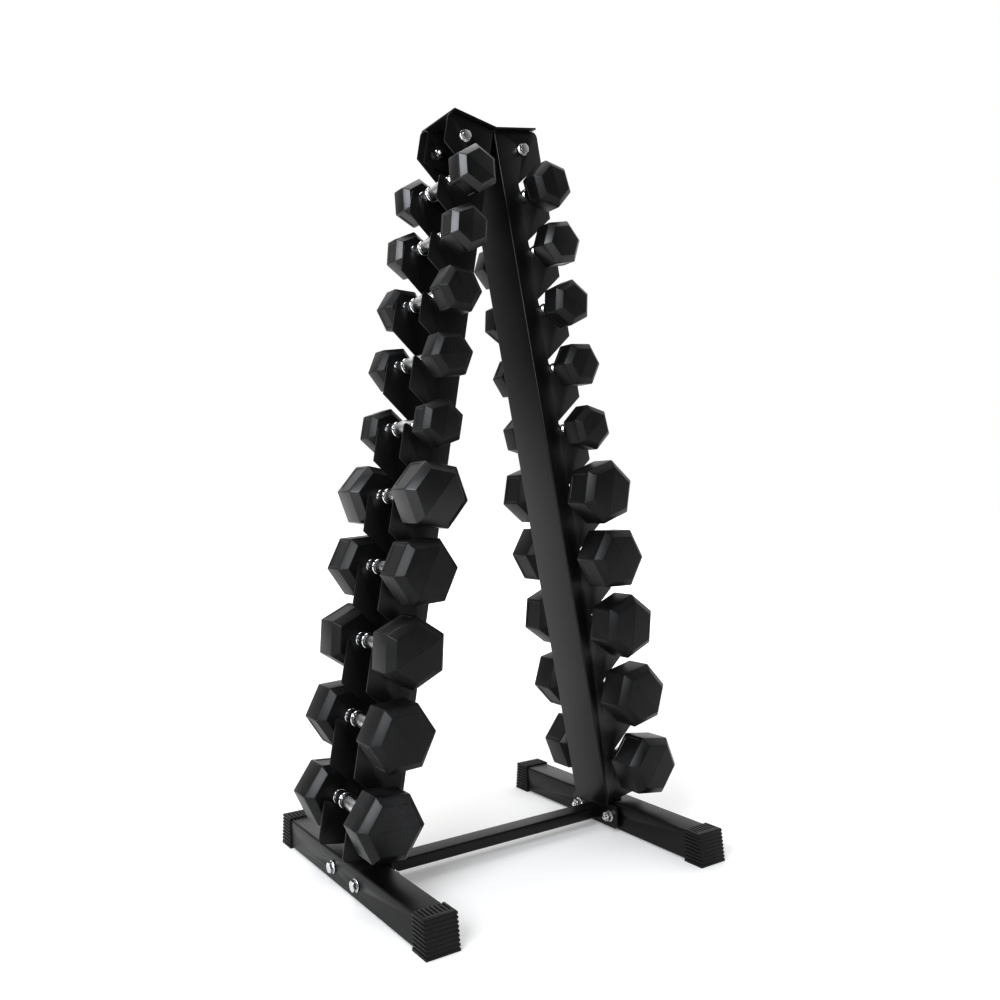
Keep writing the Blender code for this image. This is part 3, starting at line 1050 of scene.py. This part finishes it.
def bolt_pattern(name, reach):
    """A bolt with its head above the origin, its washer under it and its shank downwards."""
    washer, height = 0.0018, 0.0065
    head = hexagon_bar(name, 0.0092, washer + 0.00005, washer + height, True, False)
    ring = turned(
        "washer",
        [(0.0103, 0.0), (0.0108, 0.0004), (0.0108, washer - 0.0004), (0.0103, washer)],
        48,
    )
    thread = thread_profile(0.0049, 0.012, reach - 0.0005, 0.0015)
    downwards = [(radius, -height) for radius, height in reversed(thread)]
    shank = turned("shank", [(0.0040, -reach)] + downwards + [(0.0049, 0.001)], 32)
    make_active(head)
    for part in (ring, shank):
        part.select_set(True)
    bpy.context.view_layer.objects.active = head
    bpy.ops.object.join()
    ease_edges(head, 0.00025, 2, 40)
    smooth(head, 28)
    return head


def nut_pattern(name, height):
    nut = hexagon_bar(name, 0.0092, 0.0, height, True, True)
    hole = disc("hole", 0.0051, 32, -0.01, height + 0.01)
    subtract(nut, hole)
    ease_edges(nut, 0.00025, 2, 40)
    smooth(nut, 28)
    return nut


def washer_pattern(name, height):
    washer = disc(name, 0.0108, 48, 0.0, height)
    hole = disc("hole", 0.0053, 32, -0.01, height + 0.01)
    subtract(washer, hole)
    ease_edges(washer, 0.0003, 2, 40)
    smooth(washer, 28)
    return washer


def facing(point, way, spin=0.0):
    """A place whose Z axis points along a way."""
    turn = Vector(way).to_track_quat("Z", "Y").to_matrix().to_4x4()
    return Matrix.Translation(point) @ turn @ Matrix.Rotation(spin, 4, "Z")


def along_axis(node):
    """Which row axis a fastener lies along, and its box."""
    low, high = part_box(node)
    if "foot" in node:
        return 0, low, high
    return 1, low, high


def seat_of(node, towards):
    """The end of a fastener's box that it is driven from, and the way it is driven."""
    axis, low, high = along_axis(node)
    centre = (low + high) / 2
    point = centre.copy()
    point[axis] = high[axis] if towards > 0 else low[axis]
    way = Vector((0, 0, 0))
    way[axis] = towards
    return point, way


class RACK_OT_fasteners(bpy.types.Operator):
    """Model the plated bolts, washers and nuts"""

    bl_idname = "rack.fasteners"
    bl_label = "Fasteners"

    def execute(self, context):
        plate = fastener_plate()
        spin = 0
        for place in ("foot", "top"):
            sample = f"left_front_{place}_bolt"
            axis, low, high = along_axis(sample)
            reach = high[axis] - low[axis] - 0.0083
            bolt = bolt_pattern(place + "_bolt_pattern", reach)
            nut_low, nut_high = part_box(f"left_front_{place}_nut")
            nut = nut_pattern(place + "_nut_pattern", nut_high[axis] - nut_low[axis])
            washer = washer_pattern("washer_pattern", 0.0018)
            for side in SIDES:
                for end in ENDS:
                    spin += 1
                    outward = self.outward(place, side, end)
                    turn = math.radians(17 * spin)
                    node = f"{side}_{end}_{place}_bolt"
                    point, way = seat_of(node, outward)
                    self.put(bolt, node, point - way * 0.0083, way, turn, plate)
                    node = f"{side}_{end}_{place}_nut"
                    point, way = seat_of(node, -outward)
                    self.put(nut, node, point - way * (nut_high - nut_low)[axis], way, turn * 2, plate)
                    if place == "foot":
                        node = f"{side}_{end}_foot_washer"
                        point, way = seat_of(node, -outward)
                        self.put(washer, node, point - way * 0.0018, way, 0.0, plate)
            for pattern in (bolt, nut, washer):
                bpy.data.objects.remove(pattern, do_unlink=True)
        return {"FINISHED"}

    @staticmethod
    def outward(place, side, end):
        if place == "foot":
            return -1 if side == "left" else 1
        return -1 if end == "front" else 1

    @staticmethod
    def put(pattern, node, point, way, spin, material):
        piece = copy_of(pattern, node + "_plated", facing(point, way, spin))
        finish_piece(piece, node, "frame", material)


# ---- Dumbbells -------------------------------------------------------------------------------


def read_dumbbell(node):
    """Sizes and roll of a dumbbell's engineering solid."""
    low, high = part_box(node)
    centre = (low + high) / 2
    points = [vert.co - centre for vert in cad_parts[node].data.vertices]
    reach = max(math.hypot(point.x, point.z) for point in points)
    corners = [point for point in points if math.hypot(point.x, point.z) > reach - 0.0001]
    roll = math.atan2(corners[0].x, corners[0].z)
    roll -= AROUND * round(roll / AROUND)
    on_heads = [point for point in points if math.hypot(point.x, point.z) > reach / 2]
    return {
        "centre": centre,
        "reach": reach,
        "roll": roll,
        "inner": min(abs(point.y) for point in on_heads),
        "inner_shoulder": min(abs(point.y) for point in corners),
        "outer_shoulder": max(abs(point.y) for point in corners),
        "outer": high.y - centre.y,
    }


def panel_tool(facts, heads, way):
    """A shallow, round-cornered block with tapered sides, which sinks the panel of one flat."""
    flat = way * facts["reach"] * math.cos(AROUND / 2)
    slope, depth = heads.panel_slope, heads.panel_depth
    low_y = facts["inner_shoulder"] + heads.panel_margin - slope
    high_y = facts["outer_shoulder"] - heads.panel_margin + slope
    half = facts["reach"] / 2 - heads.panel_margin + slope
    near, far = sorted((flat - way * depth, flat + way * depth))
    tool = block("panel_tool", (near, low_y, -half), (far, high_y, half))
    open_edit(tool, "EDGE")
    pick_edges(tool, lambda edge: abs(direction(edge).x) > 0.9)
    bpy.ops.mesh.bevel(offset=half * 0.22, segments=4, profile=0.5)
    pick_faces(tool, lambda face: face.normal.x * way < -0.9)
    middle_y = (low_y + high_y) / 2
    bpy.ops.transform.resize(
        value=(1, 1 - 2 * slope / (middle_y - low_y), 1 - 2 * slope / half),
        center_override=(flat - way * depth, middle_y, 0),
    )
    close_edit()
    return tool


def head_pair(name, facts, heads):
    """Both rubber heads, with the handle's line along Y and a corner straight up."""
    piece = disc(name, facts["reach"], 6, 0.0, facts["outer"] - facts["inner"])
    piece.rotation_euler = (-math.pi / 2, 0.0, 0.0)
    piece.location = (0.0, facts["inner"], 0.0)
    set_place(piece)
    open_edit(piece, "EDGE")
    for end, shoulder in (("inner", "inner_shoulder"), ("outer", "outer_shoulder")):
        pick_edges(piece, lambda edge: abs(middle(edge).y - facts[end]) < 1e-4)
        bpy.ops.mesh.bevel(offset=abs(facts[end] - facts[shoulder]), segments=1)
    pick_edges(piece, is_sharp)
    bpy.ops.mesh.bevel(offset=heads.corner_radius, segments=3, profile=0.5)
    close_edit()
    for way in (-1, 1):
        subtract(piece, panel_tool(facts, heads, way))
    open_edit(piece, "EDGE")
    half = heads.seam_width / 2
    for x in (-half, half):
        bpy.ops.mesh.select_all(action="SELECT")
        bpy.ops.mesh.bisect(plane_co=(x, 0, 0), plane_no=(1, 0, 0))
    pick_faces(
        piece, lambda face: abs(face.calc_center_median().x) < half * 0.9 and face.normal.y > 0.3
    )
    bpy.ops.mesh.extrude_region_shrink_fatten(
        TRANSFORM_OT_shrink_fatten={"value": -half}
    )
    bpy.ops.mesh.select_all(action="SELECT")
    bpy.ops.mesh.duplicate()
    bpy.ops.transform.rotate(value=math.pi, orient_axis="Z", center_override=(0, 0, 0))
    close_edit()
    smooth(piece, 28)
    return piece


def handle_profile(facts, handles):
    """Radius and distance from the middle, from one buried end to the other."""
    neck, grip, half = handles.neck_radius, handles.grip_radius, handles.grip_length / 2
    inner = facts["inner"]
    side = [
        (neck + 0.0016, inner + 0.012),
        (neck + 0.0016, inner - 0.0050),
        (neck + 0.0010, inner - 0.0058),
        (neck - 0.0012, inner - 0.0060),
        (neck - 0.0012, inner - 0.0076),
        (neck - 0.0002, inner - 0.0080),
        (neck, inner - 0.0088),
        (neck, half + 0.0125),
        (neck + 0.0016, half + 0.0112),
        (neck + 0.0026, half + 0.0100),
        (neck + 0.0026, half + 0.0062),
        (neck + 0.0016, half + 0.0050),
        (neck - 0.0014, half + 0.0044),
        (neck - 0.0014, half + 0.0010),
        (neck + 0.0014, half),
    ]
    steps = 6
    for step in range(steps + 1):
        share = step / steps
        y = (half - 0.0015) * (1 - share)
        side.append((neck + 0.0018 + (grip - neck - 0.0018) * math.sin(share * math.pi / 2), y))
    return side[:-1] + [side[-1]] + [(radius, -y) for radius, y in reversed(side[:-1])]


def unroll(piece, radius):
    """Write a map that lays the handle's surface flat: round it across, and along it upwards."""
    layer = piece.data.uv_layers.new(name="unrolled")
    mesh = piece.data
    for face in mesh.polygons:
        angles = []
        for loop in face.loop_indices:
            place = mesh.vertices[mesh.loops[loop].vertex_index].co
            angles.append(math.atan2(place.x, place.z))
        base = angles[0]
        for loop, angle in zip(face.loop_indices, angles):
            place = mesh.vertices[mesh.loops[loop].vertex_index].co
            turn = angle - math.tau * round((angle - base) / math.tau)
            layer.data[loop].uv = (turn * radius, place.y)


def handle_bar(name, facts, handles):
    profile = [(radius, -y) for radius, y in handle_profile(facts, handles)]
    piece = turned(name, profile, 48)
    piece.rotation_euler = (-math.pi / 2, 0.0, 0.0)
    set_place(piece)
    unroll(piece, handles.grip_radius)
    smooth(piece, 35)
    return piece


def each_dumbbell():
    for side in SIDES:
        for level in range(10):
            node = f"{side}_dumbbell_{level + 1:02d}"
            yield node, read_dumbbell(node), PANEL_TURNS[side][level]


def like_patterns(make, label, settings):
    """One pattern for each size of dumbbell, made when it is first asked for."""
    made = {}

    def pattern_for(facts):
        key = round(facts["reach"], 4)
        if key not in made:
            made[key] = make(f"{label}_{len(made)}", facts, settings)
        return made[key]

    return made, pattern_for


class RACK_OT_heads(bpy.types.Operator):
    """Model the rubber heads of every dumbbell"""

    bl_idname = "rack.heads"
    bl_label = "Heads"

    def execute(self, context):
        made, pattern_for = like_patterns(head_pair, "head_pattern", context.scene.rack_heads)
        for node, facts, panel_turn in each_dumbbell():
            turn = Matrix.Rotation(facts["roll"] + panel_turn * AROUND, 4, "Y")
            matrix = Matrix.Translation(facts["centre"]) @ turn
            piece = copy_of(pattern_for(facts), node + "_heads", matrix)
            finish_piece(piece, node, node, head_rubber(node))
        for pattern in made.values():
            bpy.data.objects.remove(pattern, do_unlink=True)
        return {"FINISHED"}


class RACK_OT_handles(bpy.types.Operator):
    """Model the chromed handle of every dumbbell"""

    bl_idname = "rack.handles"
    bl_label = "Handles"

    def execute(self, context):
        made, pattern_for = like_patterns(handle_bar, "handle_pattern", context.scene.rack_handles)
        for node, facts, _ in each_dumbbell():
            matrix = Matrix.Translation(facts["centre"])
            piece = copy_of(pattern_for(facts), node + "_handle", matrix)
            finish_piece(piece, node, node, handle_chrome())
        for pattern in made.values():
            bpy.data.objects.remove(pattern, do_unlink=True)
        return {"FINISHED"}


# ---- Studio ----------------------------------------------------------------------------------


def floor_material(colour):
    """A pale floor with a painted glow, seen only by the camera and in reflections, that grows away
    from the rack until the floor is plain white.
    """
    material = bpy.data.materials.new("studio_floor")
    material.use_nodes = True
    tree = material.node_tree
    shader = tree.nodes["Principled BSDF"]
    shader.inputs["Base Color"].default_value = (*colour, 1.0)
    shader.inputs["Roughness"].default_value = 0.9
    shader.inputs["Specular IOR Level"].default_value = 0.1
    place = add_node(tree, "ShaderNodeTexCoord", (-900, -300))
    away = add_node(tree, "ShaderNodeVectorMath", (-700, -300), operation="LENGTH")
    spread = add_node(tree, "ShaderNodeMapRange", (-500, -300), clamp=True)
    spread.inputs["From Min"].default_value = 0.9
    spread.inputs["From Max"].default_value = 3.2
    spread.inputs["To Min"].default_value = 0.28
    spread.inputs["To Max"].default_value = 0.95
    # Painted glow: the floor shines for camera rays and glossy rays only, so it brightens the rack's
    # reflections without lighting the rack.
    rays = add_node(tree, "ShaderNodeLightPath", (-500, -600))
    camera_or_mirror_ray = add_node(tree, "ShaderNodeMath", (-350, -600), operation="MAXIMUM")
    painted_glow = add_node(tree, "ShaderNodeMath", (-250, -400), operation="MULTIPLY")
    shader.inputs["Emission Color"].default_value = (1.0, 1.0, 1.0, 1.0)
    link = tree.links.new
    link(place.outputs["Object"], away.inputs[0])
    link(away.outputs["Value"], spread.inputs["Value"])
    link(spread.outputs["Result"], painted_glow.inputs[0])
    link(rays.outputs["Is Camera Ray"], camera_or_mirror_ray.inputs[0])
    link(rays.outputs["Is Glossy Ray"], camera_or_mirror_ray.inputs[1])
    link(camera_or_mirror_ray.outputs["Value"], painted_glow.inputs[1])
    link(painted_glow.outputs["Value"], shader.inputs["Emission Strength"])
    return material


def soft_light(name, place, target, size, power, colour=(1.0, 1.0, 1.0)):
    deselect_all()
    bpy.ops.object.light_add(type="AREA", location=place)
    light = bpy.context.object
    light.name = name
    light.data.shape = "RECTANGLE"
    light.data.size, light.data.size_y = size
    light.data.energy = power
    light.data.color = colour
    light.rotation_euler = (Vector(target) - Vector(place)).to_track_quat("-Z", "Y").to_euler()
    return light


def studio_world(studio):
    """A white backdrop beyond the rear right corner, and a dim room in front."""
    world = bpy.data.worlds.new("studio_room")
    world.use_nodes = True
    tree = world.node_tree
    tree.nodes.clear()
    leave = add_node(tree, "ShaderNodeOutputWorld", (600, 0))
    choose = add_node(tree, "ShaderNodeMixShader", (400, 0))
    rays = add_node(tree, "ShaderNodeLightPath", (100, 300))
    towards = add_node(tree, "ShaderNodeTexCoord", (-600, 0))
    facing_back = add_node(tree, "ShaderNodeVectorMath", (-400, 0), operation="DOT_PRODUCT")
    facing_back.inputs[1].default_value = (0.75, 0.55, 0.35)
    share = add_node(tree, "ShaderNodeMapRange", (-150, 0), interpolation_type="SMOOTHSTEP")
    share.inputs["From Min"].default_value = -0.15
    share.inputs["From Max"].default_value = 0.85
    share.inputs["To Min"].default_value = studio.room
    share.inputs["To Max"].default_value = studio.backdrop
    around = add_node(tree, "ShaderNodeBackground", (100, 0))
    around.inputs["Color"].default_value = (1.0, 1.0, 1.0, 1.0)
    shown = add_node(tree, "ShaderNodeBackground", (100, -200))
    shown.inputs["Color"].default_value = (1.0, 1.0, 1.0, 1.0)
    link = tree.links.new
    link(towards.outputs["Generated"], facing_back.inputs[0])
    link(facing_back.outputs["Value"], share.inputs["Value"])
    link(share.outputs["Result"], around.inputs["Strength"])
    link(rays.outputs["Is Camera Ray"], choose.inputs["Fac"])
    link(around.outputs["Background"], choose.inputs[1])
    link(shown.outputs["Background"], choose.inputs[2])
    link(choose.outputs["Shader"], leave.inputs["Surface"])
    bpy.context.scene.world = world


def studio_camera():
    deselect_all()
    bpy.ops.object.camera_add(
        location=CAMERA_PLACE,
        rotation=(0.0, 0.0, 0.0),
    )
    camera = bpy.context.object
    camera.name = "studio_camera"
    swing = Matrix.Rotation(math.radians(CAMERA_SWING), 4, "Z")
    tilt = Matrix.Rotation(math.radians(CAMERA_PITCH), 4, "X")
    roll = Matrix.Rotation(math.radians(CAMERA_ROLL), 4, "Z")
    camera.rotation_euler = (swing @ tilt @ roll).to_euler()
    camera.data.sensor_width = 36.0
    camera.data.lens = CAMERA_LENS
    camera.data.clip_end = 100.0
    bpy.context.scene.camera = camera


class RACK_OT_studio(bpy.types.Operator):
    """Add the floor, the soft lights, the white room and the camera"""

    bl_idname = "rack.studio"
    bl_label = "Studio"

    def execute(self, context):
        studio = context.scene.rack_studio
        deselect_all()
        bpy.ops.mesh.primitive_plane_add(size=40.0, location=(0, 0, 0))
        floor = context.object
        floor.name = "studio_floor"
        floor.data.materials.append(floor_material(tuple(studio.floor)))
        middle_of_rack = (0.0, 0.0, 0.7)
        soft_light("side_light", (-3.0, 0.8, 1.5), middle_of_rack, (2.4, 2.2), studio.side_power)
        window = (0.93, 0.96, 1.0)
        place = (-2.4, -1.55, 2.1)
        soft_light("front_light", place, middle_of_rack, (1.6, 1.8), studio.front_power, window)
        soft_light("top_light", (-0.3, 0.6, 3.4), middle_of_rack, (2.6, 2.6), studio.top_power)
        studio_world(studio)
        studio_camera()
        context.scene.view_settings.view_transform = "Standard"
        context.scene.view_settings.look = "None"
        context.scene.view_settings.gamma = VIEW_GAMMA
        return {"FINISHED"}


# ---- Panel and registration ------------------------------------------------------------------


class RACK_PT_panel(bpy.types.Panel):
    """Steps that model the rack and its studio"""

    bl_idname = "RACK_PT_panel"
    bl_label = "Dumbbell Rack"
    bl_space_type = "VIEW_3D"
    bl_region_type = "UI"
    bl_category = "Rack"

    def draw(self, context):
        for operator in STEPS:
            self.layout.operator(operator.bl_idname)
        for group in SETTINGS:
            box = self.layout.box()
            settings = getattr(context.scene, group)
            for name in settings.bl_rna.properties.keys():
                if name not in {"rna_type", "name"}:
                    box.prop(settings, name)


SETTINGS = {
    "rack_steel": RackSteelSettings,
    "rack_caps": RackCapSettings,
    "rack_heads": RackHeadSettings,
    "rack_handles": RackHandleSettings,
    "rack_studio": RackStudioSettings,
}
STEPS = (
    RACK_OT_steelwork,
    RACK_OT_foot_caps,
    RACK_OT_fasteners,
    RACK_OT_heads,
    RACK_OT_handles,
    RACK_OT_studio,
)


def register():
    for group in SETTINGS.values():
        bpy.utils.register_class(group)
    for name, group in SETTINGS.items():
        setattr(bpy.types.Scene, name, PointerProperty(type=group))
    for kind in (*STEPS, RACK_PT_panel):
        bpy.utils.register_class(kind)


def unregister():
    for kind in reversed((*STEPS, RACK_PT_panel)):
        bpy.utils.unregister_class(kind)
    for name in SETTINGS:
        delattr(bpy.types.Scene, name)
    for group in reversed(tuple(SETTINGS.values())):
        bpy.utils.unregister_class(group)


def main():
    register()
    bpy.ops.rack.steelwork()
    bpy.ops.rack.foot_caps()
    bpy.ops.rack.fasteners()
    bpy.ops.rack.heads()
    bpy.ops.rack.handles()
    bpy.ops.rack.studio()


if __name__ == "__main__":
    main()
